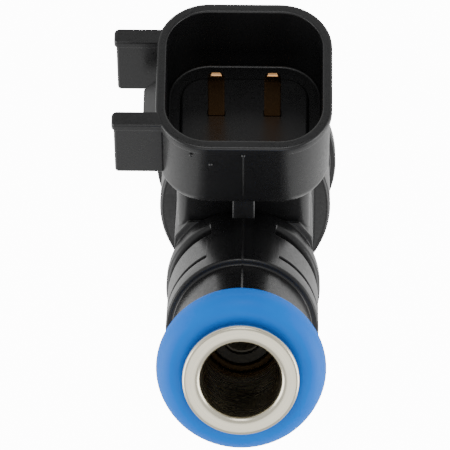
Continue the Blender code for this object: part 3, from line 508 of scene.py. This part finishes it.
shroud = skin("shroud", lean(loft([
    (0.0, 0.0, 0.0, shroud_low, 0),
    (*wall_out, shroud_low, 1.3),
    (*wall_out, bead_low - GROOVE_WIDE, 0.06),
    (*groove, bead_low - GROOVE_RAMP, 0.04),
    (*groove, bead_low, 0.03),
    (*bead, bead_low + BEAD_RAMP, 0.12),
    (*bead, RIM, 0.3),
    (*cavity, RIM, 0.22),
    (*cavity, RIM - MOAT_DEEP, 0.25),
    (*island, RIM - MOAT_DEEP, 0.1),
    (*island, RIM - FLOOR_DEEP, 0.32),
    (*island_middle, RIM - FLOOR_DEEP, 0),
    (0.0, 0.0, 0.0, RIM - FLOOR_DEEP, 0),
], (0.0, SHROUD_SHIFT))), closed_rows=False)

# Two flat rails on one side of the shroud guide the plug's latch. They have a bead at the rim as it has.
RAIL_OUT, RAIL_ROOT, RAIL_HALF, RAIL_DEEP = 11.35, 6.95, 0.575, 7.3
RAIL_PITCH, RAIL_SHIFT, RAIL_SHORT = 9.0, 0.1, 0.05
rail_half_x = 0.5 * (RAIL_OUT - RAIL_ROOT)
rail_x = 0.5 * (RAIL_OUT + RAIL_ROOT)
rail_top = RIM - RAIL_SHORT
added = [shroud]
for name, side in (("upper", -1), ("lower", 1)):
    centre = (rail_x, RAIL_SHIFT + side * 0.5 * RAIL_PITCH)
    added.append(skin(f"rail_{name}", lean(loft([
        (0.0, 0.0, 0.0, RIM - RAIL_DEEP, 0),
        (rail_half_x, RAIL_HALF, 0.25, RIM - RAIL_DEEP, 0.25),
        (rail_half_x, RAIL_HALF, 0.25, bead_low, 0.05),
        (rail_half_x + BEAD_PROUD, RAIL_HALF + BEAD_PROUD, 0.4, bead_low + BEAD_RAMP, 0.12),
        (rail_half_x + BEAD_PROUD, RAIL_HALF + BEAD_PROUD, 0.4, rail_top, 0.3),
        (0.0, 0.0, 0.0, rail_top, 0),
    ], centre, around=8)), closed_rows=False))

# The arm runs from inside the column into the shroud's floor.
ARM_X, ARM_A, ARM_SHIFT, ARM_CORNER = 6.0, 4.4, -0.6, 1.1
ARM_ROOT, ARM_SUNK = 1.0, 0.5
arm_top = shroud_low + ARM_SUNK
added.append(skin("arm", lean(loft([
    (0.0, 0.0, 0.0, ARM_ROOT, 0),
    (ARM_X, ARM_A, ARM_CORNER, ARM_ROOT, 0.3),
    (ARM_X, ARM_A, ARM_CORNER, arm_top, 0.1),
    (0.0, 0.0, 0.0, arm_top, 0),
], (0.0, ARM_SHIFT), around=10)), closed_rows=False))


def prism(name, outline, half_x, soft):
    """A plate from -half_x to half_x whose side view is the outline of (y, z) points, its edges bevelled by
    soft mm."""
    outline = np.asarray(outline, float)
    count = len(outline)
    points = np.concatenate([np.column_stack([np.full(count, x), outline]) for x in (-half_x, half_x)])
    mesh = bpy.data.meshes.new(name)
    ring = np.arange(count)
    walls = np.stack([ring, np.roll(ring, -1), np.roll(ring, -1) + count, ring + count], axis=-1)
    ends = [ring[::-1].tolist(), (ring + count).tolist()]
    mesh.from_pydata((points * MM).tolist(), [], walls.tolist() + ends)
    piece = closed_piece(name, mesh)
    piece.modifiers.clear()
    bevel = piece.modifiers.new("bevel", "BEVEL")
    bevel.width = soft * MM
    bevel.segments = 3
    return piece


# A thin gusset from the collar and a broad web under the arm stiffen the corner between arm and column.
GUSSET_HALF, GUSSET_FRONT, GUSSET_LOW, GUSSET_TOP = 1.0, -9.5, 34.2, SLOTS[-1][0] - 0.1
WEB_HALF, WEB_FRONT, WEB_LOW, WEB_TOP = 4.2, -8.4, 20.4, 35.1
ROOT_Y = -4.4
added.append(prism("gusset", [(ROOT_Y, GUSSET_LOW), (ROOT_Y, GUSSET_TOP), (GUSSET_FRONT, GUSSET_TOP),
                              (GUSSET_FRONT, GUSSET_LOW)], GUSSET_HALF, 0.18))
added.append(prism("arm_web", [(ROOT_Y, WEB_LOW), (ROOT_Y, WEB_TOP), (WEB_FRONT, WEB_TOP),
                               (WEB_FRONT, WEB_LOW)], WEB_HALF, 0.8))

# The ramp that the plug's latch snaps over stands between the rails. It is drawn in the (x, o) plane and then
# turned into the connector's frame.
RAMP_OUT, RAMP_START, RAMP_LONG, RAMP_RISE = 1.4, 3.1, 3.4, 1.75
RAMP_HALF, RAMP_SUNK = 2.2, 0.6
ramp_x = SHROUD_X + np.array([-RAMP_SUNK, 0.0, RAMP_OUT, RAMP_OUT, -RAMP_SUNK])
ramp_o = RIM - RAMP_START - np.array([0.0, 0.0, RAMP_RISE, RAMP_LONG, RAMP_LONG])
ramp = prism("latch_ramp", np.column_stack([ramp_x, ramp_o]), RAMP_HALF, 0.15)
shape = np.array([v.co[:] for v in ramp.data.vertices]) / MM
shape = lean(np.stack([shape[:, 1], shape[:, 0] + RAIL_SHIFT, shape[:, 2]], axis=-1)) * MM
ramp.data.vertices.foreach_set("co", shape.ravel())
added.append(ramp)

# Witness line along the shroud's two flat walls, with the pips that the ejector pins leave. They are closed
# shells of their own, sunk in the wall, because cutting them into it would crease the wall around them.
RIDGE_HALF_X, RIDGE_HALF_A, RIDGE_CORNER, RIDGE_SUNK = 0.06, 0.08, 0.05, 0.03
ridge_low, ridge_top = shroud_low + 1.6, bead_low - 0.5
marks = []
for name, side in (("witness_nozzle_side", -1), ("witness_inlet_side", 1)):
    marks.append(skin(name, lean(loft([
        (0.0, 0.0, 0.0, ridge_low, 0),
        (RIDGE_HALF_X, RIDGE_HALF_A, RIDGE_CORNER, ridge_low, 0.03),
        (RIDGE_HALF_X, RIDGE_HALF_A, RIDGE_CORNER, ridge_top, 0.03),
        (0.0, 0.0, 0.0, ridge_top, 0),
    ], (0.0, SHROUD_SHIFT + side * (SHROUD_A - RIDGE_SUNK)), around=4, steps=3)), closed_rows=False))


def pip(name, centre, size):
    """A sphere (s cos b cos c, s cos b sin c, s sin b) half sunk in the surface at its centre."""
    b = np.linspace(-0.5 * math.pi, 0.5 * math.pi, 13)
    grid = turn(np.stack([size * np.cos(b), size * np.sin(b)], axis=-1), 20) + np.asarray(centre)
    return skin(name, grid, closed_rows=False, crease=80.0)


# Three pips on the shroud's wall towards the inlet, one on the bead opposite, one on the gusset's corner and
# one on the lower slots' bridge.
PIP_R, PIP_Z = 0.18, 42.9
wall = SHROUD_A + SHROUD_SHIFT
pips = [lean((0.0, wall, bead_low - 0.25)), lean((4.55, wall - 0.25, bead_low - 0.55)),
        lean((2.85, wall, bead_low - 1.6)), lean((0.0, SHROUD_SHIFT - SHROUD_A - 0.1, bead_low + 0.5)),
        np.array([0.0, GUSSET_FRONT + 0.15, GUSSET_TOP]), np.array([0.0, -BARREL_R, PIP_Z])]
for i, centre in enumerate(pips):
    marks.append(pip(f"pip_{i + 1}", centre, PIP_R))

# What the body is moulded round: the tube, the core's shoulder and the coil's can, and the two blades. The
# bore's cutter passes THROUGH mm beyond the body at each end.
FIT_GAP, CORE_R, THROUGH = 0.05, 4.3, 1.0
can_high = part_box("solenoid_housing")[1]
can_r, can_top = can_high.x / MM + FIT_GAP, can_high.z / MM + FIT_GAP
core_r, tube_r = CORE_R + FIT_GAP, TUBE_R + FIT_GAP
bore = rounded(
    [(0.0, NECK_TOP + THROUGH), (tube_r, NECK_TOP + THROUGH), (tube_r, tube_foot), (core_r, tube_foot),
     (core_r, can_top), (can_r, can_top), (can_r, FOOT_LOW - THROUGH), (0.0, FOOT_LOW - THROUGH)],
    np.zeros(8), steps=2, closed=False)
cutters = [skin("body_bore", turn(bore, 128), closed_rows=False)]

BLADE_HALF_X, BLADE_HALF, BLADE_CORNER, BLADE_PITCH = 0.75, 0.32, 0.13, 5.0
BLADE_SHIFT, BLADE_TIP, BLADE_BEND = -1.4, 1.45, 1.2
BLADE_STEM_Y, BLADE_FOOT = -4.75, 17.3
bend_out = (-BLADE_STEM_Y + BLADE_SHIFT * math.cos(LEAN)) / math.sin(LEAN)
tip_out = RIM - BLADE_TIP


def blade_path():
    """The blade's middle line in the YZ plane: up the column, round the bend, and out to the tip."""
    bend = lean((0.0, BLADE_SHIFT, bend_out))[1:]
    tip = lean((0.0, BLADE_SHIFT, tip_out))[1:]
    return rounded([(BLADE_STEM_Y, BLADE_FOOT), bend, tip], [0, BLADE_BEND, 0], steps=24, closed=False)


def blade(name, x, grow, tip_rows):
    """A strip along the blade's line: each row is a rounded rectangle across the line, grow mm larger than
    the blade, whose half sizes shrink towards the tip by the coining that tip_rows gives as (distance from
    the tip, x cut, flat cut)."""
    line = blade_path()
    heading = np.gradient(line, axis=0)
    heading /= np.linalg.norm(heading, axis=1, keepdims=True)
    back = np.array([row[0] for row in tip_rows])
    stem, point, direction = line[:-1], line[-1], heading[-1]
    line = np.concatenate([stem, point - back[:, None] * direction])
    heading = np.concatenate([heading[:-1], np.repeat(direction[None], len(back), axis=0)])
    narrow = np.concatenate([np.zeros(len(stem)), [row[1] for row in tip_rows]])
    thin = np.concatenate([np.zeros(len(stem)), [row[2] for row in tip_rows]])
    side = np.stack([-heading[:, 1], heading[:, 0]], axis=-1)
    t = np.concatenate([np.linspace(0, 0.5 * math.pi, 4) + 0.5 * math.pi * i for i in range(4)])
    sign_x, sign_n = np.repeat([1, -1, -1, 1], 4), np.repeat([1, 1, -1, -1], 4)
    corner = np.minimum(BLADE_CORNER, 0.45 * (BLADE_HALF - thin))[:, None]
    across = sign_x * ((BLADE_HALF_X + grow - narrow)[:, None] - corner) + corner * np.cos(t)
    through = sign_n * ((BLADE_HALF + grow - thin)[:, None] - corner) + corner * np.sin(t)
    grid = np.stack([x + across, line[:, None, 0] + through * side[:, None, 0],
                     line[:, None, 1] + through * side[:, None, 1]], axis=-1)
    caps = [np.repeat(grid[i].mean(axis=0)[None, None], grid.shape[1], axis=1) for i in (0, -1)]
    return skin(name, np.concatenate([caps[0], grid, caps[1]]), closed_rows=False, crease=30.0)


for name, side in (("left", 1), ("right", -1)):
    cutters.append(blade(f"blade_slot_{name}", side * 0.5 * BLADE_PITCH, FIT_GAP, [(1.0, 0, 0), (0, 0, 0)]))


def join(core, added, cutters):
    """Unites the added shapes with the core, takes the cutters out, and leaves one finished mesh."""
    for shapes, operation in ((added, "UNION"), (cutters, "DIFFERENCE")):
        for shape in shapes:
            modifier = core.modifiers.new(shape.name, "BOOLEAN")
            modifier.operation = operation
            modifier.object = shape
    core.modifiers.remove(core.modifiers["even_normals"])
    bpy.context.view_layer.update()
    graph = bpy.context.evaluated_depsgraph_get()
    mesh = bpy.data.meshes.new_from_object(core.evaluated_get(graph))
    for shape in (core, *added, *cutters):
        bpy.data.objects.remove(shape)
    return mesh


body_mesh = join(body_core, added, cutters)
bm = bmesh.new()
bm.from_mesh(body_mesh)
for mark in marks:
    bm.from_mesh(mark.data)
    bpy.data.objects.remove(mark)
bm.to_mesh(body_mesh)
bm.free()
body = closed_piece("moulded_body", body_mesh, crease=32.0)
fit(body, glass_filled_nylon, "body", "body_nylon", "overmold_body")


# ---------------------------------------------------------------------------------------------------------
# Blades. Stamped from bronze strip 0.64 mm thick, the mating end coined to a blunt wedge and gold flashed
# over nickel. The feet are soldered to the coil's ends and the rest is moulded in.

# How the tip is coined: distance from the tip, and how much is off each edge and off each flat.
TIP_ROWS = [(0.9, 0.0, 0.0), (0.55, 0.08, 0.03), (0.3, 0.18, 0.07), (0.15, 0.26, 0.13), (0.05, 0.33, 0.2),
            (0.0, 0.4, 0.27)]

# Gold-flashed bronze: warm, bright and smooth, with a fine even grain from the plating.
gold_flash = surface_finish("gold_flashed_bronze", "#e6b681", "#cb9360", (0.14, 0.24), 0.2, 0.002,
                            metallic=1.0, tone=1.5)
for name, side in (("left", 1), ("right", -1)):
    strip = blade(f"blade_{name}", side * 0.5 * BLADE_PITCH, 0.0, TIP_ROWS)
    fit(strip, gold_flash, "body", "blade_bronze", f"terminal_{name}")


# ---------------------------------------------------------------------------------------------------------
# Coil. A nylon bobbin wound with enamelled copper wire in even layers, inside a drawn steel can that closes
# the magnet's path, with a washer of magnet steel over it. The can's foot shows below the moulding.

# Drawn steel, black zinc plated: dark grey with a slight brown cast, satin.
plated_can = surface_finish("black_zinc_steel", "#5a5852", "#45433e", (0.3, 0.44), 0.2, 0.002,
                            "turned", 1.0, 4.0)
# Glass-filled nylon, brown black and rather matt.
bobbin_nylon = surface_finish("bobbin_nylon", "#3a352e", "#2b2722", (0.42, 0.55), 0.25, 0.003, tone=3.0)
# Polyurethane-enamelled copper wire: clear red brown over metal.
magnet_wire = surface_finish("enamelled_wire", "#a4502a", "#7e3819", (0.22, 0.34), 0.3, 0.001, "turned", 0.8,
                             2.0, Coat_Weight=0.6, Coat_Roughness=0.12)
# Soft magnetic stainless steel, turned: plain grey with rings 0.1 mm apart.
magnet_steel = surface_finish("turned_magnet_steel", "#a9a9a6", "#92928f", (0.26, 0.4), 0.1, 0.002,
                              "turned", 1.0, 4.0)

CAN_BORE_R, CAN_FLOOR, CAN_HOLE_R = 6.65, 0.9, 3.85
low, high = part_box("solenoid_housing")
profile = rounded(
    [(high.x / MM, high.z / MM), (high.x / MM, low.z / MM), (CAN_HOLE_R, low.z / MM),
     (CAN_HOLE_R, low.z / MM + CAN_FLOOR), (CAN_BORE_R, low.z / MM + CAN_FLOOR), (CAN_BORE_R, high.z / MM)],
    [0.15, 0.75, 0.2, 0.1, 0.3, 0.15], steps=8)
fit(skin("coil_can", turn(profile)), plated_can, "body", "can_steel", "solenoid_housing")

# The winding's outside swells by |sin| once for each turn of wire, and its inside lies on the bobbin's hub.
WIRE, HUB_R = 0.32, 5.05
low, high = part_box("coil_winding")
rows_of_wire = int((high.z - low.z) / MM / WIRE)
z = np.linspace(low.z / MM, high.z / MM, rows_of_wire * 6 + 1)
swell = np.abs(np.sin(math.pi * rows_of_wire * (z - z[0]) / (z[-1] - z[0])))
outer = high.x / MM - 0.5 * WIRE + 0.5 * WIRE * swell
profile = np.concatenate([np.stack([outer, z], axis=-1), [(HUB_R, z[-1]), (HUB_R, z[0])]])
fit(skin("wound_wire", turn(profile, 96), crease=50.0), magnet_wire, "body", "enamelled_copper",
    "coil_winding")
restyle(bobbin_nylon, "coil_bobbin")
restyle(magnet_steel, "fixed_core", "flux_washer")
restyle(drawn_stainless, "nonmagnetic_sleeve", "adjusting_tube")


# ---------------------------------------------------------------------------------------------------------
# Valve. The armature is turned from magnet steel and welded to a needle tube, which ends in a ball. The three
# lift 0.07 mm; here only the ball rides on the valve's own body. A wound spring, which rides on the fixed
# parts, closes them.

# Bearing-grade stainless steel, lapped: almost a mirror.
lapped_steel = surface_finish("lapped_steel", "#c9c9c8", "#bdbdbc", (0.06, 0.12), 0.3, 0.0003, metallic=1.0)
# Spring wire, drawn and tempered: grey with a straw tint.
spring_wire = surface_finish("tempered_wire", "#a39a86", "#8a8271", (0.24, 0.36), 0.12, 0.001, metallic=1.0)

restyle(magnet_steel, "armature")
restyle(drawn_stainless, "needle_tube")

# The ball's profile is (r cos b, z + r sin b), from pole to pole.
low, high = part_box("valve_ball")
ball_r = high.x / MM
ball_z = 0.5 * (low.z + high.z) / MM
b = np.linspace(-0.5 * math.pi, 0.5 * math.pi, 49)
profile = np.stack([ball_r * np.cos(b), ball_z + ball_r * np.sin(b)], axis=-1)
fit(skin("lapped_ball", turn(profile, 96), closed_rows=False), lapped_steel, "valve", "hard_steel",
    "valve_ball")

# The spring is a circle of the wire's radius carried along a helix, in rings that stand upright.
WIRE_R, TURNS, PER_TURN, AROUND = 0.18, 8, 36, 14
low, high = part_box("return_spring")
up = np.array([0.0, 0.0, 1.0])
coil_r = high.x / MM - WIRE_R
turn_angle = np.linspace(0.0, 2 * math.pi * TURNS, TURNS * PER_TURN + 1)
climb = np.linspace(low.z / MM + WIRE_R, high.z / MM - WIRE_R, len(turn_angle))
outward = np.stack([np.cos(turn_angle), np.sin(turn_angle), 0 * turn_angle], axis=-1)
section = np.linspace(0.0, 2 * math.pi, AROUND, endpoint=False)
middle = coil_r * outward + climb[:, None] * up
grid = middle[:, None] + WIRE_R * (np.cos(section)[:, None] * outward[:, None]
                                   + np.sin(section)[:, None] * up)
ends = [np.repeat(end, AROUND, axis=1) for end in (middle[:1, None], middle[-1:, None])]
grid = np.concatenate([ends[0], grid, ends[1]])
spring = skin("wound_spring", grid, closed_rows=False)
fit(spring, spring_wire, "body", "spring_wire", "return_spring")
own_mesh(spring)


# ---------------------------------------------------------------------------------------------------------
# Nozzle. A turned stainless body carries the guide, the seat and the spray plate in its end. A plastic ring
# backs the lower seal, and a snapped-on plastic cap keeps the seal from sliding off.

# Turned stainless steel: bright, with rings 0.1 mm apart.
turned_stainless = surface_finish("turned_stainless", "#c4c1b8", "#acaaa2", (0.2, 0.32), 0.1, 0.002,
                                  "turned", 1.0, 4.0)
# Nylon for the small rings: black and rather matt.
cap_nylon = surface_finish("cap_nylon", "#202021", "#171718", (0.36, 0.5), 0.25, 0.003, tone=4.0, IOR=1.53)

NOZZLE_R, NOZZLE_BORE_R, SPIGOT_R, WAIST_R = 3.75, 3.2, 4.3, 2.2
FLANGE_TOP, FLANGE_LOW, WAIST_TOP, WAIST_LOW = 5.9, 4.15, 4.0, -1.0
low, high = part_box("valve_body")
nozzle_end, spigot_top, flange_r = low.z / MM, high.z / MM, high.x / MM
profile = rounded(
    [(SPIGOT_R, spigot_top), (SPIGOT_R, FLANGE_TOP), (flange_r, FLANGE_TOP), (flange_r, FLANGE_LOW),
     (NOZZLE_R, FLANGE_LOW), (NOZZLE_R, nozzle_end), (NOZZLE_BORE_R, nozzle_end), (NOZZLE_BORE_R, WAIST_LOW),
     (WAIST_R, WAIST_LOW), (WAIST_R, WAIST_TOP), (NOZZLE_BORE_R, WAIST_TOP), (NOZZLE_BORE_R, spigot_top)],
    [0.1, 0.1, 0.15, 0.15, 0.1, 0.12, 0.08, 0.1, 0.1, 0.1, 0.1, 0.1])
fit(skin("nozzle_body", turn(profile)), turned_stainless, "body", "nozzle_steel", "valve_body")

BACKING_GAP = 0.1
low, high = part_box("backup_ring")
backing_bore = NOZZLE_R + BACKING_GAP
profile = rounded(
    [(high.x / MM, high.z / MM), (high.x / MM, low.z / MM), (backing_bore, low.z / MM),
     (backing_bore, high.z / MM)], [0.12, 0.25, 0.15, 0.12])
fit(skin("seal_backing", turn(profile)), cap_nylon, "body", "cap_nylon", "backup_ring")

CAP_TAPER, CAP_NOSE_R, CAP_BORE_R, CAP_GAP = -5.6, 4.6, 2.6, 0.05
low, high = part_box("nozzle_cap")
cap_r, cap_top, cap_nose = high.x / MM, high.z / MM, low.z / MM
seat_r, ledge = NOZZLE_R + CAP_GAP, nozzle_end - CAP_GAP
profile = rounded(
    [(cap_r, cap_top), (cap_r, CAP_TAPER), (CAP_NOSE_R, cap_nose), (CAP_BORE_R, cap_nose),
     (CAP_BORE_R, ledge), (seat_r, ledge), (seat_r, cap_top)],
    [0.2, 0.5, 0.35, 0.3, 0.12, 0.08, 0.15], steps=7)
fit(skin("seal_cap", turn(profile)), cap_nylon, "body", "cap_nylon", "nozzle_cap")
restyle(lapped_steel, "guide_disc", "valve_seat")
restyle(turned_stainless, "orifice_plate")
